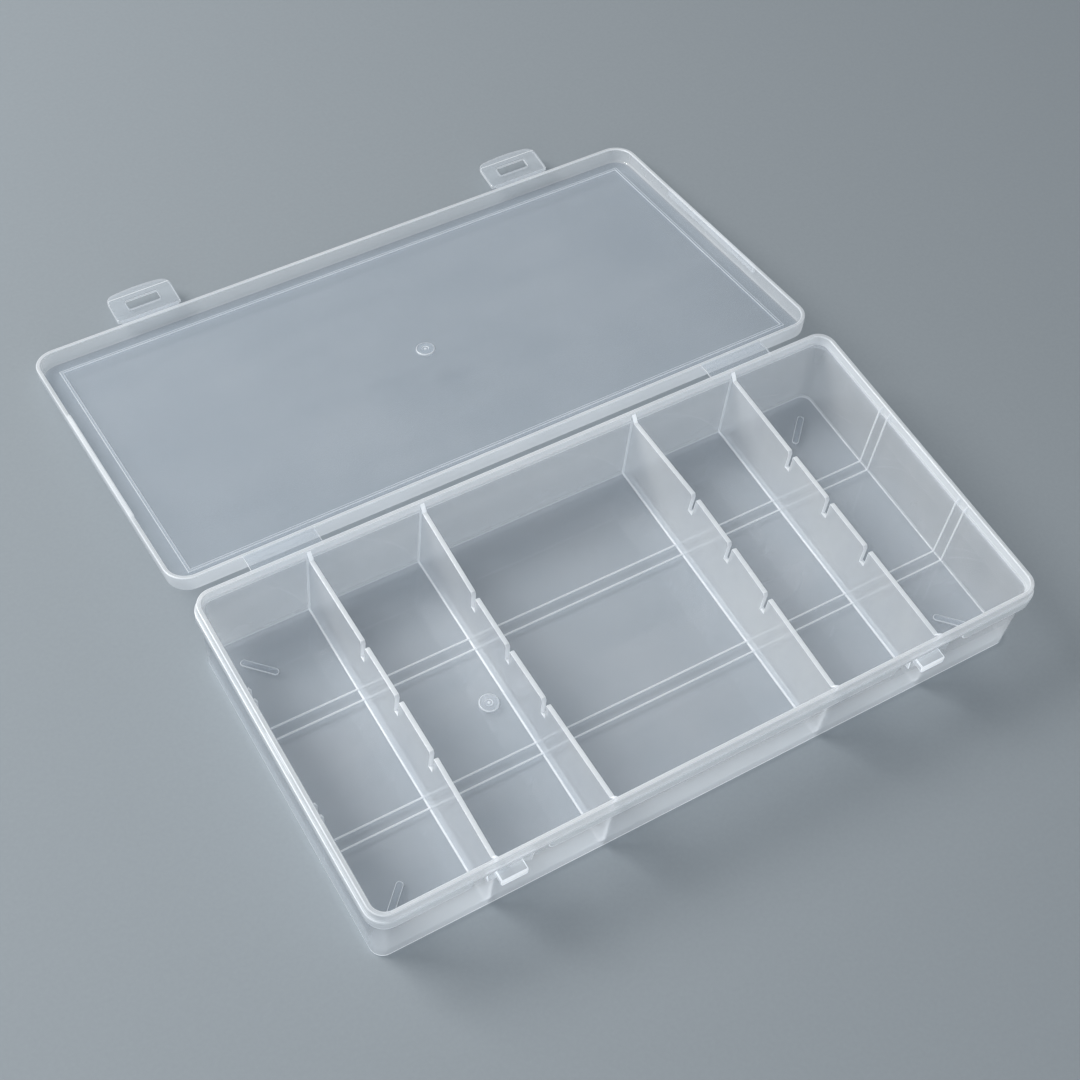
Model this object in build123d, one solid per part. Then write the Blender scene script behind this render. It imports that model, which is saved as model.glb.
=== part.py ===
from build123d import *
import math
import os

os.makedirs("parts", exist_ok=True)

# Moulded compartment box, laid open. Millimetres, +Z up, origin at the centre of the tray underside.
# X runs along the hinge, the lid lies on the +Y side, the catches are on the -Y side.

# ---- tray ----
CAVITY_HALF_X = 98.0        # inner half length at the ledge
CAVITY_HALF_Y = 48.5        # inner half width at the ledge
CAVITY_CORNER_R = 3.2
CAVITY_DRAFT = 0.4          # the cavity is this much smaller per side at the floor
FLOOR_T = 1.2
WALL_T = 1.2
WALL_DRAFT = 0.7            # the outside is this much smaller per side at the underside
BASE_EDGE_R = 0.4
FLOOR_FILLET_R = 0.4
LEDGE_Z = 24.6
LEDGE_W = 0.65
LIP_T = 1.3
LIP_H = 2.6
LIP_EDGE_R = 0.3
FLANGE_OUT = 0.6            # flange beyond the lip
FLANGE_T = 1.0
SKIRT_T = 0.8
SKIRT_DROP = 3.6
SKIRT_GAP_CLEARANCE = 0.3   # beside the folded latch tab, where the skirt is left out
SKIRT_END_R = 2.2

# ---- dividers ----
DIVIDER_T = 1.3
DIVIDER_FROM_END = 31.1     # end wall to the middle of the outer divider
DIVIDER_PITCH = 33.5        # outer divider to inner divider
NOTCH_PITCH = 17.9
NOTCH_SHIFT = 0.6           # slots stand this much nearer the hinge than the ridge pairs
NOTCH_SLOT_W = 1.6
NOTCH_MOUTH_BACK = 0.5      # widening of the mouth on the hinge side
NOTCH_MOUTH_FRONT = 0.35    # widening of the mouth on the catch side
NOTCH_MOUTH_H = 1.0
NOTCH_DEPTH = 6.5
UPSTAND_H = 2.2
UPSTAND_SLOPE = 0.9

# ---- guide ridges ----
RIDGE_HALF_SPACING = 1.76
RIDGE_W = 0.8
RIDGE_H = 0.5
RIDGE_TOOTH_H = 2.0

# ---- floor marks ----
PAD_L = 10.7
PAD_W = 2.0
PAD_H = 0.4
PAD_FROM_END = 10.5
PAD_FROM_SIDE = 10.9
BOSS_R = 2.75
BOSS_H = 0.4
BOSS_EDGE_R = 0.2
TRAY_BOSS_FROM_DIVIDER = 5.8
BEAD_R = 1.0
BEAD_OUT = 0.18
BEAD_L = 14.0
BEAD_UP = 1.3

# ---- lid ----
LID_CLEARANCE = 0.45
LID_SKIRT_T = 1.2
LID_SKIRT_H = 4.3
LID_PLATE_T = 1.2
LID_DRAFT = 0.3
LID_EDGE_R = 1.4
LID_FILLET_R = 0.7
SEAT_RIB_FROM_END = 5.0
SEAT_RIB_FROM_SIDE = 4.7
SEAT_RIB_W = 1.0
SEAT_RIB_H = 0.45

# ---- lid hinge ----
HINGE_SPAN = 5.0            # lid outside to tray side, across the fold
HINGE_FROM_END = 26.2
HINGE_W = 20.6
HINGE_T = 0.6
HINGE_UP = 0.15             # fold line above the flange top and above the lid rim
FOLD_GAP = 0.2              # half of the space left at the fold line

# ---- latches ----
LATCH_REST_DEG = 14.0       # an open tab stands this much up from the plane of the lid
LATCH_FROM_END = 34.55
LATCH_W = 20.0
LATCH_T = 1.3
LATCH_L = 10.6              # fold line to the tip at the sides
LATCH_BULGE = 0.9
LATCH_CORNER_R = 2.4
LATCH_ROOT_T = 0.5
LATCH_ROOT_L = 0.8
LATCH_FOLD_OUT = 0.55       # fold line beyond the lid skirt
LATCH_FOLD_DOWN = 0.4       # fold line below the lid rim
LATCH_BEVEL = 0.45
SLOT_W = 10.2
SLOT_START = 3.95
SLOT_H = 3.4
SLOT_R = 0.5
CATCH_SLACK_SIDE = 1.3      # slot end to catch, latch folded
CATCH_SLACK_UP = 0.75
CATCH_SLACK_DOWN = 0.45
CATCH_REACH = 0.75          # catch beyond the inner face of the folded latch
CATCH_BEVEL = 0.4
CATCH_PAD_W = 13.6
CATCH_PAD_T = 0.8
CATCH_PAD_SLOPE = 0.7

# ---- sizes that follow ----
LIP_IN_X = CAVITY_HALF_X + LEDGE_W
LIP_IN_Y = CAVITY_HALF_Y + LEDGE_W
LIP_OUT_X = LIP_IN_X + LIP_T
LIP_OUT_Y = LIP_IN_Y + LIP_T
FLANGE_X = LIP_OUT_X + FLANGE_OUT
FLANGE_Y = LIP_OUT_Y + FLANGE_OUT
RIM_Z = LEDGE_Z + LIP_H
LID_IN_X = LIP_OUT_X + LID_CLEARANCE
LID_IN_Y = LIP_OUT_Y + LID_CLEARANCE
LID_OUT_X = LID_IN_X + LID_SKIRT_T
LID_OUT_Y = LID_IN_Y + LID_SKIRT_T
LID_H = LID_SKIRT_H + LID_PLATE_T
HINGE_Y = LID_OUT_Y + HINGE_SPAN / 2
HINGE_Z = LEDGE_Z + HINGE_UP
WALL_OUT_X = CAVITY_HALF_X + WALL_T
WALL_OUT_Y = CAVITY_HALF_Y + WALL_T
WALL_R = CAVITY_CORNER_R + WALL_T
LIP_IN_R = CAVITY_CORNER_R + LEDGE_W
LIP_OUT_R = LIP_IN_R + LIP_T
FLANGE_R = LIP_OUT_R + FLANGE_OUT
LID_IN_R = LIP_OUT_R + LID_CLEARANCE
LID_CORNER_R = LID_IN_R + LID_SKIRT_T
SEAT_RIB_HALF_X = LID_IN_X - SEAT_RIB_FROM_END - SEAT_RIB_W
SEAT_RIB_HALF_Y = LID_IN_Y - SEAT_RIB_FROM_SIDE - SEAT_RIB_W
HINGE_X = CAVITY_HALF_X - HINGE_FROM_END
LATCH_X = CAVITY_HALF_X - LATCH_FROM_END
PAD_X = CAVITY_HALF_X - PAD_FROM_END
PAD_Y = CAVITY_HALF_Y - PAD_FROM_SIDE
LATCH_FOLD_Z = LEDGE_Z + 2 * HINGE_UP + LATCH_FOLD_DOWN
CATCH_TOP_Z = LATCH_FOLD_Z - SLOT_START - CATCH_SLACK_UP
CATCH_H = SLOT_H - CATCH_SLACK_UP - CATCH_SLACK_DOWN
CATCH_W = SLOT_W - 2 * CATCH_SLACK_SIDE
CATCH_OUT_Y = LID_OUT_Y + LATCH_FOLD_OUT - LATCH_FOLD_DOWN + CATCH_REACH
SKIRT_GAP_W = LATCH_W + 2 * SKIRT_GAP_CLEARANCE
DIVIDER_OUTER_X = CAVITY_HALF_X - DIVIDER_FROM_END
DIVIDER_INNER_X = DIVIDER_OUTER_X - DIVIDER_PITCH
DIVIDERS_X = (-DIVIDER_OUTER_X, -DIVIDER_INNER_X, DIVIDER_INNER_X, DIVIDER_OUTER_X)
TRAY_BOSS_X = -DIVIDER_INNER_X - TRAY_BOSS_FROM_DIVIDER
NOTCHES_Y = [NOTCH_SHIFT + n * NOTCH_PITCH for n in (-1, 0, 1)]
SMALL = 0.01


def lid_tilt():
    """Angle below level at which the rounded far edge of the open lid meets the surface."""
    out = HINGE_Y + LID_OUT_Y - LID_DRAFT - LID_EDGE_R
    down = HINGE_UP + LID_H - LID_EDGE_R
    drop = HINGE_Z - LID_EDGE_R
    return math.asin(drop / math.hypot(out, down)) - math.atan2(down, out)


LID_TILT_DEG = math.degrees(lid_tilt())


def block(half_x, half_y, radius, z0, z1):
    return Pos(0, 0, z0) * extrude(RectangleRounded(2 * half_x, 2 * half_y, radius), amount=z1 - z0)


def drafted(half_x, half_y, radius, draft, z0, z1):
    """Rounded block with the stated size at the top and smaller by the draft at the bottom."""
    low = RectangleRounded(2 * (half_x - draft), 2 * (half_y - draft), radius - draft)
    high = RectangleRounded(2 * half_x, 2 * half_y, radius)
    return loft([Pos(0, 0, z0) * low.face(), Pos(0, 0, z1) * high.face()], ruled=True)


def lowest_edges(shape):
    return shape.edges().group_by(Axis.Z)[0]


def highest_edges(shape):
    return shape.edges().group_by(Axis.Z)[-1]


def cavity(inset=0.0):
    """The space inside the tray up to the ledge, optionally shrunk off the walls and floor."""
    half_x = CAVITY_HALF_X - inset
    half_y = CAVITY_HALF_Y - inset
    radius = CAVITY_CORNER_R - inset
    space = drafted(half_x, half_y, radius, CAVITY_DRAFT, FLOOR_T + inset, LEDGE_Z)
    return fillet(lowest_edges(space), FLOOR_FILLET_R)


def mouth():
    """The space between the lips, above the ledge."""
    return block(LIP_IN_X, LIP_IN_Y, LIP_IN_R, LEDGE_Z, RIM_Z)


def skirt_ring():
    z0 = LEDGE_Z - SKIRT_DROP
    outer = block(FLANGE_X, FLANGE_Y, FLANGE_R, z0, LEDGE_Z)
    inner_r = FLANGE_R - SKIRT_T
    ring = outer - block(FLANGE_X - SKIRT_T, FLANGE_Y - SKIRT_T, inner_r, z0, LEDGE_Z - FLANGE_T)
    for side in (-1, 1):
        ring -= skirt_gap(side * LATCH_X)
    return ring


def skirt_gap(centre_x):
    """Opening in the front skirt below the flange, with rounded ends."""
    z0 = LEDGE_Z - SKIRT_DROP
    z1 = LEDGE_Z - FLANGE_T
    half = SKIRT_GAP_W / 2
    flare = half + SKIRT_END_R
    edge = Polyline((flare, z0), (-flare, z0))
    left = RadiusArc((-flare, z0), (-half, z0 + SKIRT_END_R), SKIRT_END_R)
    left_up = Line((-half, z0 + SKIRT_END_R), (-half, z1))
    top = Line((-half, z1), (half, z1))
    right_up = Line((half, z1), (half, z0 + SKIRT_END_R))
    right = RadiusArc((half, z0 + SKIRT_END_R), (flare, z0), SKIRT_END_R)
    profile = make_face([edge, left, left_up, top, right_up, right])
    cutter = extrude(Plane.XZ * profile, amount=LIP_T + 2 * SKIRT_T)
    return Pos(centre_x, -WALL_OUT_Y, 0) * cutter


def tray():
    body = drafted(WALL_OUT_X, WALL_OUT_Y, WALL_R, WALL_DRAFT, 0, LEDGE_Z)
    body = fillet(lowest_edges(body), BASE_EDGE_R)
    body += skirt_ring()
    lip = block(LIP_OUT_X, LIP_OUT_Y, LIP_OUT_R, LEDGE_Z - SMALL, RIM_Z)
    body += fillet(highest_edges(lip), LIP_EDGE_R)
    body -= cavity()
    body -= mouth()
    return body


def divider_profile():
    """Outline across the tray, before the notches, as a face in the YZ plane."""
    top = LEDGE_Z + UPSTAND_H
    slope = CAVITY_HALF_Y - UPSTAND_SLOPE
    points = [(-LIP_IN_Y, 0), (LIP_IN_Y, 0), (LIP_IN_Y, top), (slope, LEDGE_Z)]
    points += [(-slope, LEDGE_Z), (-LIP_IN_Y, top)]
    return Polygon(*points, align=None)


def notch_profile():
    """Slot with a sloping mouth, wider on the hinge side."""
    half = NOTCH_SLOT_W / 2
    back = half + NOTCH_MOUTH_BACK
    front = half + NOTCH_MOUTH_FRONT
    low = LEDGE_Z - NOTCH_DEPTH
    above = LEDGE_Z + 1
    points = [(-half, low), (half, low), (half, LEDGE_Z - NOTCH_MOUTH_H), (back, LEDGE_Z), (back, above)]
    points += [(-front, above), (-front, LEDGE_Z), (-half, LEDGE_Z - NOTCH_MOUTH_FRONT)]
    return Polygon(*points, align=None)


def divider(centre_x, room, ridges):
    face = divider_profile()
    for y in NOTCHES_Y:
        face -= Pos(y, 0) * notch_profile()
    plate = extrude(Plane.YZ * face, amount=DIVIDER_T / 2, both=True)
    plate = (Pos(centre_x, 0, 0) * plate) & room
    for ridge in ridges:
        plate -= ridge
    return plate.solid()


def guide_ridge(centre_y):
    """Low ridge along the floor and up both end walls, ending in a tooth on the ledge."""
    slab = Pos(0, centre_y, RIM_Z / 2) * Box(3 * CAVITY_HALF_X, RIDGE_W, 2 * RIM_Z)
    low = (cavity() - cavity(RIDGE_H)) & slab
    tooth_z = LEDGE_Z + RIDGE_TOOTH_H
    outer = block(LIP_IN_X, LIP_IN_Y, LIP_IN_R, LEDGE_Z, tooth_z)
    inner_x = CAVITY_HALF_X - RIDGE_H
    inner_y = CAVITY_HALF_Y - RIDGE_H
    inner = block(inner_x, inner_y, CAVITY_CORNER_R, LEDGE_Z, tooth_z)
    return (low + ((outer - inner) & slab)).solid()


def corner_pad(side_x, side_y):
    angle = 45 * side_x * side_y
    stadium = SlotOverall(PAD_L, PAD_W, rotation=angle)
    return Pos(side_x * PAD_X, side_y * PAD_Y, FLOOR_T) * extrude(stadium, amount=PAD_H)


def gate_boss(x, y, z):
    boss = Pos(0, 0, BOSS_H / 2) * Cylinder(BOSS_R, BOSS_H)
    return Pos(x, y, z) * fillet(highest_edges(boss), BOSS_EDGE_R)


def snap_bead(side):
    """Low rounded bead on the flat end face of the lip."""
    z = LEDGE_Z + BEAD_UP
    roll = Pos(side * (LIP_OUT_X - BEAD_R + BEAD_OUT), 0, z) * (Rot(90, 0, 0) * Cylinder(BEAD_R, BEAD_L))
    keep = Pos(side * (LIP_OUT_X + BEAD_R), 0, z) * Box(2 * BEAD_R, 2 * BEAD_L, 3 * BEAD_R)
    return roll & keep


def catch(centre_x, body):
    """Bevelled hook block on a backing pad, standing on the front wall."""
    low = CATCH_TOP_Z - CATCH_H
    pad_y = WALL_OUT_Y + CATCH_PAD_T
    pad_top = LEDGE_Z - FLANGE_T
    half = CATCH_PAD_W / 2
    foot = half - CATCH_PAD_SLOPE
    pad_face = Polygon((-foot, low), (foot, low), (half, pad_top), (-half, pad_top), align=None)
    pad = Pos(0, -CAVITY_HALF_Y, 0) * extrude(Plane.XZ * pad_face, amount=pad_y - CAVITY_HALF_Y)
    points = [(-CAVITY_HALF_Y, low), (-CATCH_OUT_Y, low), (-CATCH_OUT_Y, CATCH_TOP_Z - CATCH_BEVEL)]
    points += [(-CATCH_OUT_Y + CATCH_BEVEL, CATCH_TOP_Z), (-CAVITY_HALF_Y, CATCH_TOP_Z)]
    hook = extrude(Plane.YZ * Polygon(*points, align=None), amount=CATCH_W / 2, both=True)
    return ((Pos(centre_x, 0, 0) * (pad + hook)) - body - cavity()).solid()


def lid_place(shape):
    """From lid axes (fold line on X, rim side up) to the open rest position."""
    return Pos(0, HINGE_Y, HINGE_Z) * (Rot(-LID_TILT_DEG, 0, 0) * shape)


def lid_shell():
    z1 = -HINGE_UP
    z0 = z1 - LID_H
    outer = drafted(LID_OUT_X, LID_OUT_Y, LID_CORNER_R, LID_DRAFT, z0, z1)
    outer = fillet(lowest_edges(outer), LID_EDGE_R)
    inner = drafted(LID_IN_X, LID_IN_Y, LID_IN_R, LID_DRAFT, z0 + LID_PLATE_T, z1)
    inner = fillet(lowest_edges(inner), LID_FILLET_R)
    return lid_place(Pos(0, HINGE_Y, 0) * (outer - inner))


def seat_rib():
    z0 = -HINGE_UP - LID_SKIRT_H
    outer_x = SEAT_RIB_HALF_X + SEAT_RIB_W
    outer_y = SEAT_RIB_HALF_Y + SEAT_RIB_W
    ring = Rectangle(2 * outer_x, 2 * outer_y) - Rectangle(2 * SEAT_RIB_HALF_X, 2 * SEAT_RIB_HALF_Y)
    return lid_place(Pos(0, HINGE_Y, z0) * extrude(ring, amount=SEAT_RIB_H))


def lid_boss():
    return lid_place(gate_boss(0, HINGE_Y, -HINGE_UP - LID_SKIRT_H))


def tray_leaf(side):
    """Tray half of a living hinge, level with the flange top."""
    length = HINGE_Y - FOLD_GAP - FLANGE_Y
    leaf = Box(HINGE_W, length, HINGE_T, align=(Align.CENTER, Align.MIN, Align.MAX))
    return Pos(side * HINGE_X, FLANGE_Y, LEDGE_Z) * leaf


def lid_leaf(side):
    """Lid half of a living hinge, level with the lid rim."""
    length = HINGE_SPAN / 2 - FOLD_GAP
    leaf = Box(HINGE_W, length, HINGE_T, align=(Align.CENTER, Align.MIN, Align.MAX))
    return lid_place(Pos(side * HINGE_X, FOLD_GAP, -HINGE_UP) * leaf)


def latch_place(side, shape):
    """From latch axes (fold line on X, plate along +Y) to the open tab on the end of the open lid."""
    out = HINGE_Y + LID_OUT_Y + LATCH_FOLD_OUT
    raised = Rot(LATCH_REST_DEG, 0, 0) * shape
    return lid_place(Pos(side * LATCH_X, out, -HINGE_UP - LATCH_FOLD_DOWN) * raised)


def latch_tab(side):
    half = LATCH_W / 2
    sides = Polyline((-half, LATCH_L), (-half, LATCH_ROOT_L), (half, LATCH_ROOT_L), (half, LATCH_L))
    tip = ThreePointArc((half, LATCH_L), (0, LATCH_L + LATCH_BULGE), (-half, LATCH_L))
    plate = make_face([sides, tip])
    corners = plate.vertices().group_by(Axis.Y)[1]
    plate = fillet(corners, LATCH_CORNER_R)
    slot = Pos(0, SLOT_START + SLOT_H / 2) * RectangleRounded(SLOT_W, SLOT_H, SLOT_R)
    solid = extrude(plate - slot, amount=LATCH_T)
    tip_edges = solid.edges().group_by(Axis.Z)[-1].filter_by_position(Axis.Y, LATCH_L - 1, LATCH_L + 2)
    tip_edges = [e for e in tip_edges if e.center().Y > LATCH_L]
    solid = chamfer(tip_edges, LATCH_BEVEL)
    return latch_place(side, Pos(0, 0, LATCH_FOLD_DOWN - LATCH_T) * solid)


def latch_root(side):
    """Thin strip that the latch tab folds on."""
    strip = Box(LATCH_W - 2, LATCH_ROOT_L, LATCH_ROOT_T, align=(Align.CENTER, Align.MIN, Align.CENTER))
    return latch_place(side, strip)


def tray_nodes():
    body = tray()
    room = cavity() + mouth()
    ridge_ys = [s * NOTCH_PITCH + t * RIDGE_HALF_SPACING for s in (-1, 1) for t in (-1, 1)]
    ridges = [guide_ridge(y) for y in ridge_ys]
    nodes = {"tray": body.solid()}
    for i, x in enumerate(DIVIDERS_X):
        nodes[f"divider_{i + 1}"] = divider(x, room, ridges)
    for i, ridge in enumerate(ridges):
        nodes[f"guide_ridge_{i + 1}"] = ridge
    nodes["pad_front_left"] = corner_pad(-1, -1)
    nodes["pad_front_right"] = corner_pad(1, -1)
    nodes["pad_back_left"] = corner_pad(-1, 1)
    nodes["pad_back_right"] = corner_pad(1, 1)
    nodes["gate_boss_tray"] = gate_boss(TRAY_BOSS_X, 0, FLOOR_T)
    nodes["snap_bead_left"] = snap_bead(-1)
    nodes["snap_bead_right"] = snap_bead(1)
    nodes["catch_left"] = catch(-LATCH_X, body)
    nodes["catch_right"] = catch(LATCH_X, body)
    nodes["hinge_left_tray_leaf"] = tray_leaf(-1)
    nodes["hinge_right_tray_leaf"] = tray_leaf(1)
    return nodes


def lid_nodes():
    nodes = {"lid_shell": lid_shell()}
    nodes["lid_seat_rib"] = seat_rib()
    nodes["gate_boss_lid"] = lid_boss()
    nodes["hinge_left_lid_leaf"] = lid_leaf(-1)
    nodes["hinge_right_lid_leaf"] = lid_leaf(1)
    nodes["latch_left_tab"] = latch_tab(-1)
    nodes["latch_left_root"] = latch_root(-1)
    nodes["latch_right_tab"] = latch_tab(1)
    nodes["latch_right_root"] = latch_root(1)
    return nodes


if __name__ == "__main__":
    for name, shape in {**tray_nodes(), **lid_nodes()}.items():
        export_step(shape, f"parts/{name}.step")
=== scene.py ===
"""Clear moulded sorting box, laid open. Sizes are in millimetres and are scaled when a piece is placed."""

from math import asin, atan2, cos, hypot, pi, radians, sin, sqrt

import bmesh
import bpy
from mathutils import Matrix, Vector


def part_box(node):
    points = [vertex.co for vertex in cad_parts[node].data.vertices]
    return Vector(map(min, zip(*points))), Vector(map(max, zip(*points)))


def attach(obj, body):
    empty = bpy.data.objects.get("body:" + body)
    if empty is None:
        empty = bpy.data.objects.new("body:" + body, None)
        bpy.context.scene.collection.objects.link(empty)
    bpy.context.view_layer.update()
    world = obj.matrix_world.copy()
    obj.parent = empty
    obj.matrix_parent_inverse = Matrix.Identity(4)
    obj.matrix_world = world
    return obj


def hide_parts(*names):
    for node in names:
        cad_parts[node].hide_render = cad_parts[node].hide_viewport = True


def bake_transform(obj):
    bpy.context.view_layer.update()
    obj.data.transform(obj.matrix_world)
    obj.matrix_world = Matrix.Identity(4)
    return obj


MM = 0.001
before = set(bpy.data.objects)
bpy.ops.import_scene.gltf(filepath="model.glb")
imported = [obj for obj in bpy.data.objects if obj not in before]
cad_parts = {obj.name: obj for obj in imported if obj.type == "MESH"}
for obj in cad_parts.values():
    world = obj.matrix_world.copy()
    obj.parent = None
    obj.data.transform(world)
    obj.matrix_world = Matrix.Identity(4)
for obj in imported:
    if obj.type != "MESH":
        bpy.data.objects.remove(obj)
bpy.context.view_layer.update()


def box_mm(node):
    """Lowest and highest corner of a CAD node in millimetres."""
    low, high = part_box(node)
    return low / MM, high / MM


def middle_mm(node):
    low, high = box_mm(node)
    return (low + high) / 2


# ---- tray sizes ----
tray_top = box_mm("tray")[1]
RIM_Z = tray_top.z
FLANGE_X = tray_top.x
FLANGE_Y = tray_top.y
FLANGE_OUT = 0.6
LIP_T = 1.3
LIP_H = 2.6
LIP_ROUND = 0.3
LEDGE_W = 0.65
LEDGE_Z = RIM_Z - LIP_H
CAVITY_X = FLANGE_X - FLANGE_OUT - LIP_T - LEDGE_W
CAVITY_Y = FLANGE_Y - FLANGE_OUT - LIP_T - LEDGE_W
CAVITY_R = 3.2
CAVITY_DRAFT = 0.4
FLOOR_T = 1.2
FLOOR_FILLET = 0.4
WALL_T = 1.2
WALL_DRAFT = 0.7
BASE_ROUND = 0.4
FOOT_LINE = 0.8
FLANGE_T = 1.0
FLANGE_ROUND = 0.2
SKIRT_T = 0.8
SKIRT_DROP = 3.6
SKIRT_LOW = LEDGE_Z - SKIRT_DROP
SKIRT_END_R = 2.2
SKIRT_GAP = 20.6

# ---- divider and floor marks ----
DIVIDERS_X = [middle_mm(f"divider_{i}").x for i in (1, 2, 3, 4)]
DIVIDER_T = 1.3
NOTCHES_Y = (-17.3, 0.6, 18.5)
NOTCH_HALF = 0.8
NOTCH_MOUTH_BACK = 0.5
NOTCH_MOUTH_FRONT = 0.35
NOTCH_MOUTH_H = 1.0
NOTCH_DEPTH = 6.5
NOTCH_LOW = LEDGE_Z - NOTCH_DEPTH
UPSTAND_H = 2.2
UPSTAND_SLOPE = 0.9
JOINT_FILLET = 0.45
DIVIDER_WARPS = ((0.7, 0.7), (-1.0, 1.2), (1.2, 1.6), (0.0, 1.0))
RIDGES_Y = [middle_mm(f"guide_ridge_{i}").y for i in (1, 2, 3, 4)]
RIDGE_W = 0.5
RIDGE_H = 0.5
TOOTH_H = 2.0
PAD_L = 10.7
PAD_W = 2.0
PAD_H = 0.4
BOSS_R = 2.75
BOSS_H = 0.4
BEAD_L = 14.0
BEAD_PROUD = 0.18
BEAD_SLICES = 12
SUNK = 0.03

# ---- lid sizes ----
LID_CLEARANCE = 0.45
LID_IN_X = FLANGE_X - FLANGE_OUT + LID_CLEARANCE
LID_IN_Y = FLANGE_Y - FLANGE_OUT + LID_CLEARANCE
LID_IN_R = CAVITY_R + LEDGE_W + LIP_T + LID_CLEARANCE
LID_WALL_T = 1.2
LID_SKIRT_H = 4.3
LID_PLATE_T = 1.2
LID_DRAFT = 0.3
LID_EDGE_R = 1.4
LID_RIM_ROUND = 0.3
LID_FILLET = 0.7
RIB_FROM_END = 5.0
RIB_FROM_SIDE = 4.7
RIB_W = 1.0
RIB_H = 0.45
SNAP_BAR_HALF = 23.0
SNAP_BAR_LOW = -2.2
SNAP_BAR_HIGH = -0.02
SNAP_BAR_PROUD = 0.2
SNAP_BAR_IN_WALL = 0.9
HINGE_UP = 0.15
HINGE_SPAN = 5.0
HINGE_W = 20.6
HINGE_T = 0.6
FOLD_HALF = 0.18
FOLD_SLOPE_HALF = 0.5
FOLD_GROOVE = 0.2
HINGE_Y = LID_IN_Y + LID_WALL_T + HINGE_SPAN / 2
HINGE_Z = LEDGE_Z + HINGE_UP
HINGES_X = [middle_mm(f"hinge_{side}_tray_leaf").x for side in ("left", "right")]

# ---- latch sizes ----
LATCHES_X = [middle_mm(f"latch_{side}_tab").x for side in ("left", "right")]
LATCH_REST = radians(14.0)
LATCH_HALF_W = 10.0
LATCH_T = 1.3
LATCH_L = 10.6
LATCH_BULGE = 0.9
LATCH_TIP_R = 2.4
LATCH_ROOT = 0.8
LATCH_FOLD_OUT = 0.55
LATCH_FOLD_DOWN = 0.4
SLOT_HALF_W = 5.1
SLOT_START = 3.95
SLOT_END = 7.35
CATCH_HALF_W = 3.8
CATCH_TOP = 20.6
CATCH_LOW = 18.4
CATCH_OUT = 53.0
CATCH_BACK = 49.2
CATCH_BEVEL = 0.4
CATCH_PAD_HALF = 6.8
CATCH_PAD_SLOPE = 0.7
CATCH_PAD_T = 0.8


def lid_tilt():
    """Angle below level at which the rounded far edge of the lid touches the table."""
    out = HINGE_Y + LID_IN_Y + LID_WALL_T - LID_DRAFT - LID_EDGE_R
    down = HINGE_UP + LID_SKIRT_H + LID_PLATE_T - LID_EDGE_R
    drop = HINGE_Z - LID_EDGE_R
    return asin(drop / hypot(out, down)) - atan2(down, out)


LID_PLACE = Matrix.Translation((0, HINGE_Y, HINGE_Z)) @ Matrix.Rotation(-lid_tilt(), 4, "X")
LID_CENTRE = LID_PLACE @ Matrix.Translation((0, HINGE_Y, -HINGE_UP))
IN_PLACE = Matrix.Identity(4)

# finish numbers inside a piece; the bright-line finish is mostly a painted glow, the milky outside finish is
# partly one, and the edge and rim finishes carry a little
SHEET, WALL, RIM, EDGE, GLOW_LINE, MILKY_GLOW = range(6)
ARC_STEPS = 4
CORNER_STEPS = 10


# ---- shaders ----
NUMBER = "NodeSocketFloat"
VECTOR = "NodeSocketVector"


def node_group(name, inputs, outputs):
    """Empty shader group with named sockets; returns the group and its two end nodes."""
    group = bpy.data.node_groups.new(name, "ShaderNodeTree")
    for label, kind, value in inputs:
        socket = group.interface.new_socket(label, in_out="INPUT", socket_type=kind)
        if value is not None:
            socket.default_value = value
    for label, kind in outputs:
        group.interface.new_socket(label, in_out="OUTPUT", socket_type=kind)
    return group, group.nodes.new("NodeGroupInput"), group.nodes.new("NodeGroupOutput")


def add_node(tree, kind, **settings):
    node = tree.nodes.new(kind)
    for key, value in settings.items():
        setattr(node, key, value)
    return node


def feed(tree, socket, value):
    """Gives a socket a plain value or the output of another node."""
    if isinstance(value, bpy.types.NodeSocket):
        tree.links.new(value, socket)
    else:
        socket.default_value = value


def number(tree, operation, *values, clamp=False):
    """Math node; each value is a plain number or a socket."""
    node = add_node(tree, "ShaderNodeMath", operation=operation, use_clamp=clamp)
    for socket, value in zip(node.inputs, values):
        feed(tree, socket, value)
    return node.outputs["Value"]


def stretched(tree, value, low, high, from_low=0.0, from_high=1.0):
    """Map Range node from one span of numbers to another, held at both ends."""
    node = add_node(tree, "ShaderNodeMapRange")
    node.inputs["From Min"].default_value = from_low
    node.inputs["From Max"].default_value = from_high
    node.inputs["To Min"].default_value = low
    node.inputs["To Max"].default_value = high
    tree.links.new(value, node.inputs["Value"])
    return node.outputs["Result"]


def mixed(tree, share, first, second):
    """Mix Shader node; share is a plain number or a socket."""
    node = add_node(tree, "ShaderNodeMixShader")
    feed(tree, node.inputs["Fac"], share)
    tree.links.new(first, node.inputs[1])
    tree.links.new(second, node.inputs[2])
    return node.outputs["Shader"]


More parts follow.
